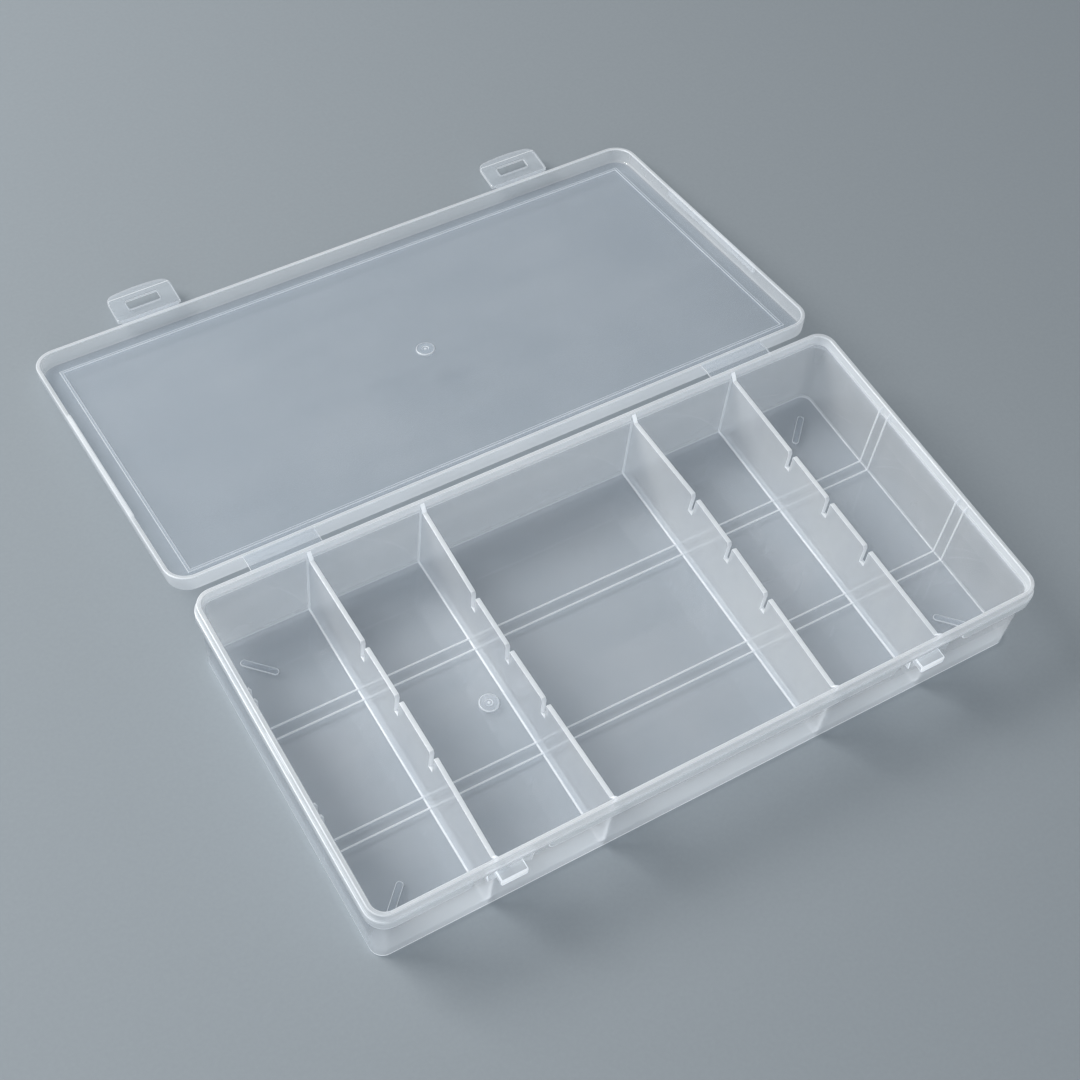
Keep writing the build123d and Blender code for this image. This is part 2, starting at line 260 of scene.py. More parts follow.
def make_flow_group():
    """Soft clouding of the moulding: broad patches drawn out by the flow away from the gate."""
    group, start, end = node_group(
        "moulding flow",
        [("Vector", VECTOR, None), ("Patch Size", NUMBER, 30.0), ("Streak Size", NUMBER, 90.0)],
        [("Cloud", NUMBER), ("Ripple", NUMBER)],
    )
    links = group.links
    patches = add_node(group, "ShaderNodeTexNoise")
    patches.inputs["Detail"].default_value = 3.0
    links.new(start.outputs["Vector"], patches.inputs["Vector"])
    links.new(start.outputs["Patch Size"], patches.inputs["Scale"])
    stretch = add_node(group, "ShaderNodeMapping")
    stretch.inputs["Scale"].default_value = (0.25, 1.6, 0.6)
    links.new(start.outputs["Vector"], stretch.inputs["Vector"])
    streaks = add_node(group, "ShaderNodeTexNoise")
    streaks.inputs["Detail"].default_value = 2.0
    links.new(stretch.outputs["Vector"], streaks.inputs["Vector"])
    links.new(start.outputs["Streak Size"], streaks.inputs["Scale"])
    blend = number(group, "MULTIPLY_ADD", streaks.outputs["Fac"], 0.45, patches.outputs["Fac"])
    links.new(stretched(group, blend, 0.0, 1.0, 0.5, 0.95), end.inputs["Cloud"])
    links.new(patches.outputs["Fac"], end.inputs["Ripple"])
    return group


def scuff_lines(group, vector, angle, width):
    """Mask of fine drawn-out scratches that run one way."""
    turn = add_node(group, "ShaderNodeMapping")
    turn.inputs["Rotation"].default_value = (0.0, 0.0, angle)
    turn.inputs["Scale"].default_value = (30.0, 420.0, 160.0)
    group.links.new(vector, turn.inputs["Vector"])
    lines = add_node(group, "ShaderNodeTexNoise")
    lines.inputs["Scale"].default_value = 1.0
    lines.inputs["Detail"].default_value = 1.0
    group.links.new(turn.outputs["Vector"], lines.inputs["Vector"])
    away = number(group, "ABSOLUTE", number(group, "SUBTRACT", lines.outputs["Fac"], 0.62))
    return stretched(group, away, 1.0, 0.0, 0.0, width)


def make_marks_group():
    """Handling marks: fine crossing scuffs and a scatter of small specks."""
    group, start, end = node_group(
        "handling marks",
        [("Vector", VECTOR, None), ("Scuff Amount", NUMBER, 0.5), ("Speck Amount", NUMBER, 0.5)],
        [("Marks", NUMBER)],
    )
    vector = start.outputs["Vector"]
    one_way = scuff_lines(group, vector, 0.5, 0.012)
    other_way = scuff_lines(group, vector, -0.9, 0.010)
    scuffs = number(group, "MAXIMUM", one_way, other_way)
    specks = add_node(group, "ShaderNodeTexVoronoi")
    specks.inputs["Scale"].default_value = 260.0
    group.links.new(vector, specks.inputs["Vector"])
    dots = stretched(group, specks.outputs["Distance"], 1.0, 0.0, 0.04, 0.10)
    scuffs = number(group, "MULTIPLY", scuffs, start.outputs["Scuff Amount"])
    dots = number(group, "MULTIPLY", dots, start.outputs["Speck Amount"])
    group.links.new(number(group, "MAXIMUM", scuffs, dots), end.inputs["Marks"])
    return group


PLASTIC_IOR = 1.49
CLOUD_SHARE = 0.3
MARK_SHARE = 0.12
FLOW = make_flow_group()
MARKS = make_marks_group()


def outer_skin(tree, flow, marks, tint, clouded, gloss):
    """Cloudy surface of the plastic, rippled a little by the mould and dulled where it is marked."""
    colour = add_node(tree, "ShaderNodeMix", data_type="RGBA")
    colour.inputs["A"].default_value = (*tint, 1)
    colour.inputs["B"].default_value = (*clouded, 1)
    bump = add_node(tree, "ShaderNodeBump")
    bump.inputs["Strength"].default_value = 0.05
    bump.inputs["Distance"].default_value = 0.0003
    skin = add_node(tree, "ShaderNodeBsdfPrincipled")
    skin.inputs["IOR"].default_value = PLASTIC_IOR
    skin.inputs["Specular IOR Level"].default_value = 0.35
    # colour of the painted glow, emission standing in for light carried sideways through the sheet
    skin.inputs["Emission Color"].default_value = (0.92, 0.96, 1.0, 1)
    links = tree.links
    links.new(flow.outputs["Cloud"], colour.inputs["Factor"])
    links.new(colour.outputs["Result"], skin.inputs["Base Color"])
    links.new(stretched(tree, marks.outputs["Marks"], gloss + 0.12, gloss + 0.4), skin.inputs["Roughness"])
    links.new(flow.outputs["Ripple"], bump.inputs["Height"])
    links.new(bump.outputs["Normal"], skin.inputs["Normal"])
    return skin


def milky_core(tree, solidity, glow):
    """Inside of the plastic: clear, and lit right through where it is milky."""
    open_air = add_node(tree, "ShaderNodeBsdfTransparent")
    open_air.inputs["Color"].default_value = (0.985, 0.992, 1.0, 1)
    inner = add_node(tree, "ShaderNodeBsdfTranslucent")
    inner.inputs["Color"].default_value = (*glow, 1)
    return mixed(tree, solidity, open_air.outputs["BSDF"], inner.outputs["BSDF"])


def with_gleam(tree, body, marks, front, ray, gloss):
    """Clear reflection on the outer side only; a reflected ray sees no second one."""
    mirror = add_node(tree, "ShaderNodeBsdfGlossy")
    mirror.inputs["Color"].default_value = (0.95, 0.97, 1.0, 1)
    fresnel = add_node(tree, "ShaderNodeFresnel")
    fresnel.inputs["IOR"].default_value = PLASTIC_IOR
    tree.links.new(stretched(tree, marks.outputs["Marks"], gloss, gloss + 0.06), mirror.inputs["Roughness"])
    shine = number(tree, "MULTIPLY", fresnel.outputs["Fac"], front)
    first = number(tree, "SUBTRACT", 1.0, ray.outputs["Is Glossy Ray"])
    return mixed(tree, number(tree, "MULTIPLY", shine, first), body, mirror.outputs["BSDF"])


def clear_plastic(name, tint, clouded, haze, grazing, glow, glow_share, shade=0.6, gloss=0.1, painted_glow=0.0):
    """Milky see-through polypropylene: haze is how solid it looks face on, grazing how solid at a slant.
    Shade is the share of that haze which also holds back lamp light: milkiness scatters it onwards.
    The last argument is a painted glow: emission on the outer side, standing in for the light the sheet
    carries sideways inside itself."""
    material = bpy.data.materials.new(name)
    material.use_nodes = True
    tree = material.node_tree
    tree.nodes.clear()
    links = tree.links
    place = add_node(tree, "ShaderNodeTexCoord")
    flow = add_node(tree, "ShaderNodeGroup", node_tree=FLOW)
    marks = add_node(tree, "ShaderNodeGroup", node_tree=MARKS)
    marks.inputs["Scuff Amount"].default_value = 0.12
    marks.inputs["Speck Amount"].default_value = 0.15
    for group in (flow, marks):
        links.new(place.outputs["Object"], group.inputs["Vector"])
    slant = add_node(tree, "ShaderNodeLayerWeight")
    slant.inputs["Blend"].default_value = 0.38
    ray = add_node(tree, "ShaderNodeLightPath")
    side = add_node(tree, "ShaderNodeNewGeometry")
    front = number(tree, "SUBTRACT", 1.0, side.outputs["Backfacing"])
    thickness = stretched(tree, slant.outputs["Facing"], haze, grazing)
    shading = stretched(tree, ray.outputs["Is Shadow Ray"], 1.0, shade)
    clouding = number(tree, "MULTIPLY_ADD", flow.outputs["Cloud"], CLOUD_SHARE * haze, thickness)
    marking = number(tree, "MULTIPLY_ADD", marks.outputs["Marks"], MARK_SHARE, clouding, clamp=True)
    skin = outer_skin(tree, flow, marks, tint, clouded, gloss)
    links.new(number(tree, "MULTIPLY", marking, shading), skin.inputs["Alpha"])
    # painted glow, let out on the outer side only
    links.new(number(tree, "MULTIPLY", front, painted_glow), skin.inputs["Emission Strength"])
    core = milky_core(tree, number(tree, "MULTIPLY", thickness, shading), glow)
    body = mixed(tree, glow_share, skin.outputs["BSDF"], core)
    output = add_node(tree, "ShaderNodeOutputMaterial")
    links.new(with_gleam(tree, body, marks, front, ray, gloss), output.inputs["Surface"])
    return material


def table_top():
    """Pale blue-grey table with a faint mottle."""
    material = bpy.data.materials.new("pale table")
    material.use_nodes = True
    tree = material.node_tree
    skin = tree.nodes["Principled BSDF"]
    skin.inputs["Specular IOR Level"].default_value = 0.1
    place = add_node(tree, "ShaderNodeTexCoord")
    mottle = add_node(tree, "ShaderNodeTexNoise")
    mottle.inputs["Scale"].default_value = 900.0
    mottle.inputs["Detail"].default_value = 3.0
    colour = add_node(tree, "ShaderNodeMix", data_type="RGBA")
    colour.inputs["A"].default_value = (0.285, 0.318, 0.346, 1)
    colour.inputs["B"].default_value = (0.309, 0.345, 0.375, 1)
    links = tree.links
    links.new(place.outputs["Object"], mottle.inputs["Vector"])
    links.new(mottle.outputs["Fac"], colour.inputs["Factor"])
    links.new(colour.outputs["Result"], skin.inputs["Base Color"])
    links.new(stretched(tree, mottle.outputs["Fac"], 0.55, 0.7), skin.inputs["Roughness"])
    return material


WHITE_GLOW = (0.96, 0.97, 0.98)
BLUE_GLOW = (0.88, 0.92, 0.96)
floor_clear = clear_plastic(
    "clear floor", tint=(0.76, 0.82, 0.88), clouded=(0.84, 0.88, 0.93), haze=0.20, grazing=0.50,
    glow=BLUE_GLOW, glow_share=0.4, shade=0.6, gloss=0.06)
wall_clear = clear_plastic(
    "clear wall", tint=(0.88, 0.92, 0.96), clouded=(0.94, 0.96, 0.99), haze=0.18, grazing=0.43,
    glow=WHITE_GLOW, glow_share=0.5, shade=0.5, gloss=0.06)
# milky outside: its haze is the plastic's own milkiness, and much of its brightness is a painted glow
# standing in for light carried through the sheet
milky_glow_wall = clear_plastic(
    "milky outside", tint=(0.88, 0.93, 0.99), clouded=(0.95, 0.98, 1.0), haze=0.21, grazing=0.50,
    glow=WHITE_GLOW, glow_share=0.5, shade=0.6, gloss=0.16, painted_glow=0.46)
divider_milky = clear_plastic(
    "milky divider", tint=(0.90, 0.94, 0.99), clouded=(0.96, 0.98, 0.99), haze=0.26, grazing=0.54,
    glow=WHITE_GLOW, glow_share=0.5, shade=0.6, gloss=0.06)
# milky rim: more solid where the lip is thick, with a faint painted glow on top
rim_milky = clear_plastic(
    "milky rim", tint=(0.90, 0.94, 0.98), clouded=(0.94, 0.97, 0.99), haze=0.46, grazing=0.78,
    glow=WHITE_GLOW, glow_share=0.45, shade=0.75, gloss=0.22, painted_glow=0.10)
# rounded edges: more solid where the eye runs through more plastic, with a faint painted glow on top
edge_bright = clear_plastic(
    "bright edge", tint=(0.74, 0.78, 0.82), clouded=(0.78, 0.81, 0.84), haze=0.82, grazing=0.94,
    glow=WHITE_GLOW, glow_share=0.3, shade=0.9, gloss=0.18, painted_glow=0.14)
# bright line: a strong painted glow, emission standing in for light carried along the plastic to its edges
painted_glow_line = clear_plastic(
    "bright line", tint=(0.62, 0.66, 0.70), clouded=(0.66, 0.70, 0.73), haze=0.58, grazing=0.80,
    glow=WHITE_GLOW, glow_share=0.25, shade=1.0, gloss=0.3, painted_glow=0.92)
mark_clear = clear_plastic(
    "clear mark", tint=(0.82, 0.87, 0.92), clouded=(0.88, 0.92, 0.95), haze=0.32, grazing=0.72,
    glow=WHITE_GLOW, glow_share=0.4)
lid_clear = clear_plastic(
    "clear lid plate", tint=(0.60, 0.68, 0.77), clouded=(0.67, 0.74, 0.82), haze=0.14, grazing=0.45,
    glow=BLUE_GLOW, glow_share=0.4, gloss=0.06)
tab_milky = clear_plastic(
    "milky tab", tint=(0.76, 0.82, 0.88), clouded=(0.82, 0.87, 0.92), haze=0.22, grazing=0.60,
    glow=BLUE_GLOW, glow_share=0.45)

TRAY_FINISHES = (floor_clear, wall_clear, rim_milky, edge_bright, painted_glow_line, milky_glow_wall)
DIVIDER_FINISHES = (divider_milky, wall_clear, rim_milky, edge_bright, painted_glow_line)
MARK_FINISHES = (mark_clear, mark_clear, mark_clear, rim_milky)
LID_FINISHES = (lid_clear, wall_clear, rim_milky, edge_bright)
TAB_FINISHES = (tab_milky, rim_milky, rim_milky, edge_bright)
PAD_FINISHES = (lid_clear, lid_clear, mark_clear, edge_bright)
BEAD_FINISHES = (rim_milky, rim_milky, rim_milky, edge_bright)
CATCH_FINISHES = (rim_milky, wall_clear, rim_milky, edge_bright, painted_glow_line)
RIB_FINISHES = (lid_clear, mark_clear, mark_clear, rim_milky)
WEB_FINISHES = (lid_clear, rim_milky, rim_milky, edge_bright)
TRAY_BOSS_FINISHES = (floor_clear, mark_clear, mark_clear, edge_bright)
LID_BOSS_FINISHES = (lid_clear, mark_clear, mark_clear, edge_bright)


# ---- mesh helpers ----
def loft(bm, loops, finishes, closed=False):
    """Skins equal loops of points in order; each strip takes the next finish number."""
    rows = [[bm.verts.new(point) for point in loop] for loop in loops]
    pairs = list(zip(rows, rows[1:]))
    if closed:
        pairs.append((rows[-1], rows[0]))
    count = len(rows[0])
    for (low, high), finish in zip(pairs, finishes):
        for i in range(count):
            j = (i + 1) % count
            face = bm.faces.new((low[i], low[j], high[j], high[i]))
            face.material_index = finish
    return rows


def cap(bm, row, finish):
    face = bm.faces.new(row)
    face.material_index = finish


def sleeve(bm, loops, finishes, end_finish):
    """Skins equal loops of points in order and closes both ends; each side has its own finish."""
    rows = [[bm.verts.new(point) for point in loop] for loop in loops]
    count = len(finishes)
    for low, high in zip(rows, rows[1:]):
        for i in range(count):
            j = (i + 1) % count
            face = bm.faces.new((low[i], low[j], high[j], high[i]))
            face.material_index = finishes[i]
    cap(bm, rows[0], end_finish)
    cap(bm, rows[-1], end_finish)


def arc(centre_out, centre_z, radius, start, finish, steps=ARC_STEPS):
    """Points (out, z) round a small arc; angles in degrees, 0 outwards and 90 up."""
    points = []
    for i in range(steps + 1):
        angle = radians(start + (finish - start) * i / steps)
        points.append((centre_out + radius * cos(angle), centre_z + radius * sin(angle)))
    return points


def arc_strip(points, finish, after=None):
    """Section points (out, z, finish) along an arc; the strip after it can take another finish."""
    strip = [(out, z, finish) for out, z in points]
    if after is not None:
        strip[-1] = (*points[-1], after)
    return strip


def perimeter(half_x, half_y, radius, steps=CORNER_STEPS):
    """Stations (point, outward direction) round a rounded rectangle, anticlockwise."""
    stations = []
    for quarter, (sx, sy) in enumerate(((1, 1), (-1, 1), (-1, -1), (1, -1))):
        centre = Vector((sx * (half_x - radius), sy * (half_y - radius), 0))
        for i in range(steps + 1):
            angle = (quarter + i / steps) * pi / 2
            out = Vector((cos(angle), sin(angle), 0))
            stations.append((centre + radius * out, out))
    return stations


def ring(stations, out, z):
    return [point + out * normal + Vector((0, 0, z)) for point, normal in stations]


def swept_section(bm, stations, section, first_cap=None, last_cap=None):
    """Runs a section of (out, z, finish) round the stations, with a face over either end."""
    loops = [ring(stations, out, z) for out, z, _ in section]
    rows = loft(bm, loops, [finish for _, _, finish in section[:-1]])
    if first_cap is not None:
        cap(bm, rows[0], first_cap)
    if last_cap is not None:
        cap(bm, rows[-1], last_cap)
    return rows


def inset_outline(outline, distance):
    """The flat outline (u, v) moved inwards by the distance; the outline runs anticlockwise."""
    moved = []
    count = len(outline)
    for i in range(count):
        before = Vector(outline[i - 1])
        here = Vector(outline[i])
        after = Vector(outline[(i + 1) % count])
        into = (here - before).normalized()
        away = (after - here).normalized()
        side_in = Vector((-into.y, into.x))
        side_out = Vector((-away.y, away.x))
        mitre = side_in + side_out
        moved.append(here + mitre * (distance / max(mitre.dot(side_in), 0.2)))
    return moved


def plate(bm, outline, thickness, edge_round, to_space, face=SHEET, edge=EDGE, round_finish=None, steps=2):
    """Flat plate from an outline (u, v) with rounded edges; to_space takes (u, v, w) to a point."""
    half = thickness / 2
    if round_finish is None:
        round_finish = edge
    profile = [(edge_round + 0.03, half)]
    for i in range(steps + 1):
        angle = (pi / 2) * i / steps
        profile.append((edge_round * (1 - sin(angle)), half - edge_round * (1 - cos(angle))))
    loops = []
    for inset, w in profile + [(a, -b) for a, b in reversed(profile)]:
        loops.append([to_space(u, v, w) for u, v in inset_outline(outline, inset)])
    finishes = [face] + [round_finish] * steps + [edge] + [round_finish] * steps + [face]
    rows = loft(bm, loops, finishes)
    cap(bm, rows[0], face)
    cap(bm, rows[-1], face)


def in_yz(centre_x):
    return lambda u, v, w: Vector((centre_x + w, u, v))


def in_xz(centre_y):
    return lambda u, v, w: Vector((u, centre_y - w, v))


def make_piece(name, bm, finishes, body, nodes=(), place=IN_PLACE):
    """Finishes the mesh, scales it to metres in place and ties it to the frame."""
    bmesh.ops.remove_doubles(bm, verts=bm.verts, dist=0.0005)
    bmesh.ops.recalc_face_normals(bm, faces=bm.faces)
    mesh = bpy.data.meshes.new(name)
    bm.to_mesh(mesh)
    bm.free()
    mesh.transform(Matrix.Scale(MM, 4) @ place)
    for material in finishes:
        mesh.materials.append(material)
    mesh.shade_smooth()
    mesh.set_sharp_from_angle(angle=radians(40))
    piece = bpy.data.objects.new(name, mesh)
    bpy.context.scene.collection.objects.link(piece)
    if body:
        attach(piece, body)
    if nodes:
        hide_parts(*nodes)
    return piece


# ---- tray ----
def wall_out_at(z):
    """How far the drafted outside of the wall stands beyond the top of the cavity."""
    return WALL_T - WALL_DRAFT * (LEDGE_Z - z) / LEDGE_Z


def wall_in_at(z):
    return -CAVITY_DRAFT * (LEDGE_Z - z) / (LEDGE_Z - FLOOR_T)


def tray_section():
    """Wall section from the middle of the floor, over the lip and back under the tray."""
    foot = -CAVITY_DRAFT - FLOOR_FILLET
    lip_in = LEDGE_W
    lip_out = LEDGE_W + LIP_T
    lip_round_z = RIM_Z - LIP_ROUND
    flange = lip_out + FLANGE_OUT - FLANGE_ROUND
    flange_low = LEDGE_Z - FLANGE_T
    base = wall_out_at(0) - BASE_ROUND
    section = [(foot - 0.6, FLOOR_T, SHEET)]
    # the floor fillet takes the milky outside finish, so it is partly lit by a painted glow
    section += arc_strip(arc(foot, FLOOR_T + FLOOR_FILLET, FLOOR_FILLET, -90, 0), MILKY_GLOW, WALL)
    section += [(wall_in_at(LEDGE_Z - 0.2), LEDGE_Z - 0.2, RIM), (0.15, LEDGE_Z, RIM)]
    section += [(lip_in - 0.1, LEDGE_Z, RIM), (lip_in, LEDGE_Z + 0.15, RIM)]
    section += arc_strip(arc(lip_in + LIP_ROUND, lip_round_z, LIP_ROUND, 180, 90), EDGE, RIM)
    section += arc_strip(arc(lip_out - LIP_ROUND, lip_round_z, LIP_ROUND, 90, 0), EDGE, RIM)
    section += [(lip_out, LEDGE_Z + 0.15, RIM), (lip_out + 0.1, LEDGE_Z, RIM)]
    section += arc_strip(arc(flange, LEDGE_Z - FLANGE_ROUND, FLANGE_ROUND, 90, 0, 2), EDGE)
    section += arc_strip(arc(flange, flange_low + FLANGE_ROUND, FLANGE_ROUND, 0, -90, 2), EDGE, RIM)
    section += [(wall_out_at(flange_low) + 0.1, flange_low, RIM)]
    # the outside of the wall takes the milky outside finish: real milkiness plus a painted glow
    section += [(wall_out_at(flange_low - 0.2), flange_low - 0.2, MILKY_GLOW)]
    # a strip above the base and the base round take the bright-line finish, a painted glow that draws a
    # bright foot line
    section.append((wall_out_at(FOOT_LINE), FOOT_LINE, GLOW_LINE))
    section += arc_strip(arc(base, BASE_ROUND, BASE_ROUND, 0, -90, 3), GLOW_LINE, SHEET)
    section.append((base - 0.6, 0, SHEET))
    return section


def make_tray():
    bm = bmesh.new()
    stations = perimeter(CAVITY_X, CAVITY_Y, CAVITY_R)
    swept_section(bm, stations, tray_section(), SHEET, SHEET)
    for start, stop in ((LATCHES_X[1] + SKIRT_GAP / 2, LATCHES_X[0] - SKIRT_GAP / 2),
                        (LATCHES_X[0] + SKIRT_GAP / 2, LATCHES_X[1] - SKIRT_GAP / 2)):
        skirt_strip(bm, start, stop)
    make_piece("tray_moulding", bm, TRAY_FINISHES, "tray_body", ["tray"])


def skirt_path(start_x, stop_x):
    """Stations with their distance from the nearer cut end of a skirt strip."""
    columns = [SKIRT_END_R * (1 - cos(pi / 2 * i / 6)) for i in range(7)]
    front = Vector((0, -1, 0))
    path = [(Vector((start_x + d, -CAVITY_Y, 0)), front, d) for d in columns]
    if start_x > stop_x:
        round_the_box = perimeter(CAVITY_X, CAVITY_Y, CAVITY_R)
        last_corner = 3 * (CORNER_STEPS + 1)
        order = round_the_box[last_corner:] + round_the_box[:last_corner]
        path += [(point, normal, SKIRT_END_R) for point, normal in order]
    path += [(Vector((stop_x - d, -CAVITY_Y, 0)), front, d) for d in reversed(columns)]
    return path


def skirt_strip(bm, start_x, stop_x):
    """Skirt hanging from the flange between two catch gaps, its lower corners rounded."""
    outer = LEDGE_W + LIP_T + FLANGE_OUT
    inner = outer - SKIRT_T
    top = LEDGE_Z - FLANGE_T
    loops = []
    for point, normal, along in skirt_path(start_x, stop_x):
        rise = SKIRT_END_R - sqrt(max(SKIRT_END_R ** 2 - (SKIRT_END_R - along) ** 2, 0))
        low = SKIRT_LOW + rise
        section = [(outer, top), (outer, low + 0.45), (outer - 0.1, low + 0.05), (outer - 0.3, low)]
        section += [(inner + 0.3, low), (inner + 0.1, low + 0.05), (inner, low + 0.25), (inner, top)]
        loops.append([point + out * normal + Vector((0, 0, z)) for out, z in section])
    # the skirt's lower edge and both cut ends take the bright-line finish, a painted glow
    sleeve(bm, loops, [RIM, GLOW_LINE, GLOW_LINE, GLOW_LINE, GLOW_LINE, GLOW_LINE, WALL, RIM], GLOW_LINE)


# ---- dividers ----
def divider_outline():
    """Outline (y, z) of a divider with its three notches and its upstands on the ledge."""
    deep = 0.05
    low_y = CAVITY_Y - CAVITY_DRAFT + deep
    top_y = CAVITY_Y + LEDGE_W + deep
    top = LEDGE_Z + UPSTAND_H
    outline = [(-low_y, FLOOR_T - deep), (low_y, FLOOR_T - deep)]
    outline += [(CAVITY_Y + deep, LEDGE_Z - deep), (top_y, LEDGE_Z - deep), (top_y, top)]
    outline.append((CAVITY_Y - UPSTAND_SLOPE, LEDGE_Z))
    for y in reversed(NOTCHES_Y):
        back = y + NOTCH_HALF
        front = y - NOTCH_HALF
        outline += [(back + NOTCH_MOUTH_BACK, LEDGE_Z), (back, LEDGE_Z - NOTCH_MOUTH_H), (back, NOTCH_LOW)]
        outline += [(front, NOTCH_LOW), (front, LEDGE_Z - NOTCH_MOUTH_FRONT)]
        outline.append((front - NOTCH_MOUTH_FRONT, LEDGE_Z))
    outline.append((-CAVITY_Y + UPSTAND_SLOPE, LEDGE_Z))
    outline += [(-top_y, top), (-top_y, LEDGE_Z - deep), (-CAVITY_Y - deep, LEDGE_Z - deep)]
    return outline


def joint_fillet(bm, centre_x, side):
    """Small hollow fillet along a divider's foot and up both its ends."""
    low_y = CAVITY_Y - CAVITY_DRAFT
    path = [((-CAVITY_Y, LEDGE_Z - 0.1), (1, 0)), ((-low_y, FLOOR_T), (1, 1))]
    path += [((low_y, FLOOR_T), (-1, 1)), ((CAVITY_Y, LEDGE_Z - 0.1), (-1, 0))]
    section = [(-SUNK, -SUNK), (JOINT_FILLET, -SUNK)]
    for i in range(ARC_STEPS + 1):
        angle = (pi / 2) * i / ARC_STEPS
        section.append((JOINT_FILLET * (1 - sin(angle)), JOINT_FILLET * (1 - cos(angle))))
    loops = []
    for (y, z), (toward_y, toward_z) in path:
        loop = []
        for beside, off in section:
            x = centre_x + side * (DIVIDER_T / 2 + beside)
            loop.append((x, y + off * toward_y, z + off * toward_z))
        loops.append(loop)
    sleeve(bm, loops, [RIM] * len(section), RIM)


def warp_divider(bm, bow, lean):
    """Bows the top of a thin divider sideways, most at a share of its length set by lean."""
    for vert in bm.verts:
        up = min(max((vert.co.z - FLOOR_T) / (LEDGE_Z - FLOOR_T), 0), 1)
        along = min(max((vert.co.y + CAVITY_Y) / (2 * CAVITY_Y), 0), 1)
        vert.co.x += bow * up * sin(pi * along ** lean)


def paint_glow_on_ends(bm):
    """Gives the ends of a divider, seen through the clear walls, the bright-line finish: a painted glow
    standing in for light carried along the divider.
    """
    for face in bm.faces:
        at_end = abs(face.calc_center_median().y) > CAVITY_Y - CAVITY_DRAFT - 0.05
        if at_end and abs(face.normal.y) > 0.5:
            face.material_index = GLOW_LINE


def make_dividers():
    for i, x in enumerate(DIVIDERS_X):
        bm = bmesh.new()
        plate(bm, divider_outline(), DIVIDER_T, 0.2, in_yz(x), edge=EDGE)
        bm.normal_update()
        for side in (-1, 1):
            joint_fillet(bm, x, side)
        paint_glow_on_ends(bm)
        warp_divider(bm, *DIVIDER_WARPS[i])
        name = f"divider_{i + 1}"
        make_piece(name + "_moulding", bm, DIVIDER_FINISHES, "tray_body", [name])


# ---- marks on the tray ----
def ridge_outline():
    """U shape (x, z) along the floor, up both end walls and over the ledge into a tooth."""
    deep = 0.04
    low_x = CAVITY_X - CAVITY_DRAFT
    out_x = CAVITY_X + LEDGE_W
    top = LEDGE_Z + TOOTH_H
    outline = [(-low_x - deep, FLOOR_T - deep), (low_x + deep, FLOOR_T - deep)]
    outline += [(CAVITY_X + deep, LEDGE_Z - deep), (out_x + deep, LEDGE_Z - deep), (out_x + deep, top)]
    outline += [(CAVITY_X + 0.1, top), (CAVITY_X - RIDGE_H, LEDGE_Z + 0.6)]
    outline += [(low_x - RIDGE_H, FLOOR_T + RIDGE_H), (-low_x + RIDGE_H, FLOOR_T + RIDGE_H)]
    outline.append((-CAVITY_X + RIDGE_H, LEDGE_Z + 0.6))
    outline += [(-CAVITY_X - 0.1, top), (-out_x - deep, top), (-out_x - deep, LEDGE_Z - deep)]
    outline.append((-CAVITY_X - deep, LEDGE_Z - deep))
    return outline


def make_ridges():
    for i, y in enumerate(RIDGES_Y):
        bm = bmesh.new()
        plate(bm, ridge_outline(), RIDGE_W, 0.2, in_xz(y))
        name = f"guide_ridge_{i + 1}"
        make_piece(name + "_moulding", bm, MARK_FINISHES, "tray_body", [name])


def pad_outline(turn):
    """Long pad with round ends, turned towards its corner of the tray."""
    radius = PAD_W / 2
    reach = PAD_L / 2 - radius
    outline = []
    for start, shift in ((-90, reach), (90, -reach)):
        for i in range(9):
            angle = radians(start + 180 * i / 8)
            point = Vector((shift + radius * cos(angle), radius * sin(angle)))
            point.rotate(Matrix.Rotation(turn, 2))
            outline.append(tuple(point))
    return outline


def make_pads():
    for end in ("front", "back"):
        for side in ("left", "right"):
            name = f"pad_{end}_{side}"
            centre = middle_mm(name)
            turn = radians(45 if centre.x * centre.y > 0 else -45)
            middle_z = FLOOR_T + (PAD_H - SUNK) / 2
            bm = bmesh.new()
            plate(bm, pad_outline(turn), PAD_H + SUNK, 0.15,
                  lambda u, v, w: Vector((centre.x + u, centre.y + v, middle_z + w)))
            make_piece(name + "_moulding", bm, PAD_FINISHES, "tray_body", [name])


def turned(bm, profile, finishes, steps=40):
    """Spins a profile of (radius, z) about its own axis, closed by a small top and bottom face."""
    loops = []
    for radius, z in profile:
        loops.append([Vector((radius * cos(2 * pi * i / steps), radius * sin(2 * pi * i / steps), z))
                      for i in range(steps)])
    rows = loft(bm, loops, finishes)
    cap(bm, rows[0], finishes[0])
    cap(bm, rows[-1], finishes[-1])


def gate_boss_mesh():
    """Round gate mark: a low disc with a rounded edge, a shallow ring and a broken-off nib in the middle."""
    bm = bmesh.new()
    nib_z = BOSS_H - 0.02
    dish_z = BOSS_H - 0.14
    profile = [(0.12, nib_z), (0.3, nib_z), (0.42, dish_z), (0.9, dish_z)]
    profile += [(1.05, BOSS_H), (BOSS_R - 0.25, BOSS_H)]
    profile += arc(BOSS_R - 0.2, BOSS_H - 0.2, 0.2, 90, 0, 3)
    profile += [(BOSS_R, -SUNK), (BOSS_R - 0.3, -SUNK)]
    turned(bm, profile, [EDGE, EDGE, SHEET, EDGE, SHEET, SHEET, EDGE, EDGE, EDGE, EDGE, SHEET])
    return bm


